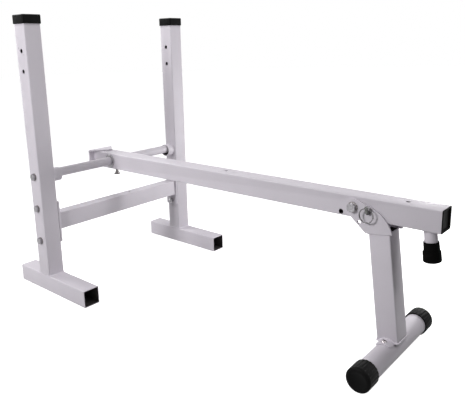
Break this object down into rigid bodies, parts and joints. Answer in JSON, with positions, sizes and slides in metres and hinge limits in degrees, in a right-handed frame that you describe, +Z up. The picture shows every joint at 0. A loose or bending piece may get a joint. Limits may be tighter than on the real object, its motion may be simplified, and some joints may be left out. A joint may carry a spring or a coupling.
{
  "type": "weight bench with rack",
  "caption": "Bare steel frame of a folding weight bench: two-post bar rack on flat feet, a square beam hinged on a round bar, and a folding pinned front leg on a capped round foot.",
  "frame": {"origin": "on the floor, under the centre of the whole object's box", "axes": "+Z up, -Y towards the folding front leg, X across the rack from the left post (-X) to the right post (+X)"},
  "size_m": [0.604, 1.184, 0.7943],
  "materials": {
    "white_paint": "pale lilac-white powder coat, semi-gloss",
    "black_plastic": "moulded, satin",
    "black_rubber": "matt",
    "zinc": "bright zinc plate",
    "dark_steel": "dark plated steel"
  },
  "bodies": {
    "rack": {"left_foot": "white_paint", "right_foot": "white_paint", "left_upright": "white_paint", "right_upright": "white_paint", "left_top_cap": "black_plastic", "right_top_cap": "black_plastic", "lower_crossbar": "white_paint", "left_crossbar_plate": "white_paint", "right_crossbar_plate": "white_paint", "left_lower_crossbar_bolt": "zinc", "left_lower_crossbar_washer": "zinc", "left_lower_crossbar_nut": "zinc", "left_upper_crossbar_bolt": "zinc", "left_upper_crossbar_washer": "zinc", "left_upper_crossbar_nut": "zinc", "right_lower_crossbar_bolt": "zinc", "right_lower_crossbar_washer": "zinc", "right_lower_crossbar_nut": "zinc", "right_upper_crossbar_bolt": "zinc", "right_upper_crossbar_washer": "zinc", "right_upper_crossbar_nut": "zinc", "pivot_bar": "white_paint", "left_bar_socket": "white_paint", "left_bar_insert": "zinc", "left_bar_washer": "zinc", "left_bar_bolt": "zinc", "right_bar_socket": "white_paint", "right_bar_insert": "zinc", "right_bar_washer": "zinc", "right_bar_bolt": "zinc"},
    "beam": {"main_beam": "white_paint", "rear_bracket": "white_paint", "left_beam_bush": "zinc", "right_beam_bush": "zinc", "beam_front_plug": "black_plastic", "bumper_post": "white_paint", "bumper_tip": "black_rubber", "clamp_nut": "zinc", "leg_pivot_sleeve": "zinc", "left_pivot_washer": "zinc", "right_pivot_washer": "zinc", "leg_pivot_bolt": "zinc", "leg_pivot_nut": "zinc"},
    "leg": {"left_leg_plate": "white_paint", "right_leg_plate": "white_paint", "front_leg": "white_paint", "foot_saddle": "white_paint", "left_saddle_screw": "zinc", "right_saddle_screw": "zinc", "front_foot_tube": "white_paint", "left_foot_cap": "black_plastic", "right_foot_cap": "black_plastic"},
    "lock_pin": {"lock_pin": "dark_steel"},
    "pin_ring": {"pin_ring": "zinc"},
    "clamp_screw": {"clamp_screw": "zinc"}
  },
  "joints": [
    {"name": "beam_hinge", "type": "hinge", "parent": "rack", "child": "beam", "pos_m": [0, 0.463, 0.348], "axis": [-1, 0, 0], "range_deg": [0, 90]},
    {"name": "leg_fold", "type": "hinge", "parent": "beam", "child": "leg", "pos_m": [0, -0.397, 0.348], "axis": [1, 0, 0], "range_deg": [0, 95]},
    {"name": "lock_pin_slide", "type": "slide", "parent": "leg", "child": "lock_pin", "axis": [1, 0, 0], "range_m": [-0.012, 0.0035]},
    {"name": "pin_ring_swing", "type": "hinge", "parent": "lock_pin", "child": "pin_ring", "pos_m": [-0.04084, -0.43527, 0.35329], "axis": [0, 1, 0], "range_deg": [-15, 120]},
    {"name": "clamp_screw_turn", "type": "hinge", "parent": "beam", "child": "clamp_screw", "pos_m": [0, 0.463, 0.31], "axis": [0, 0, -1], "range_deg": [0, 360]}
  ]
}
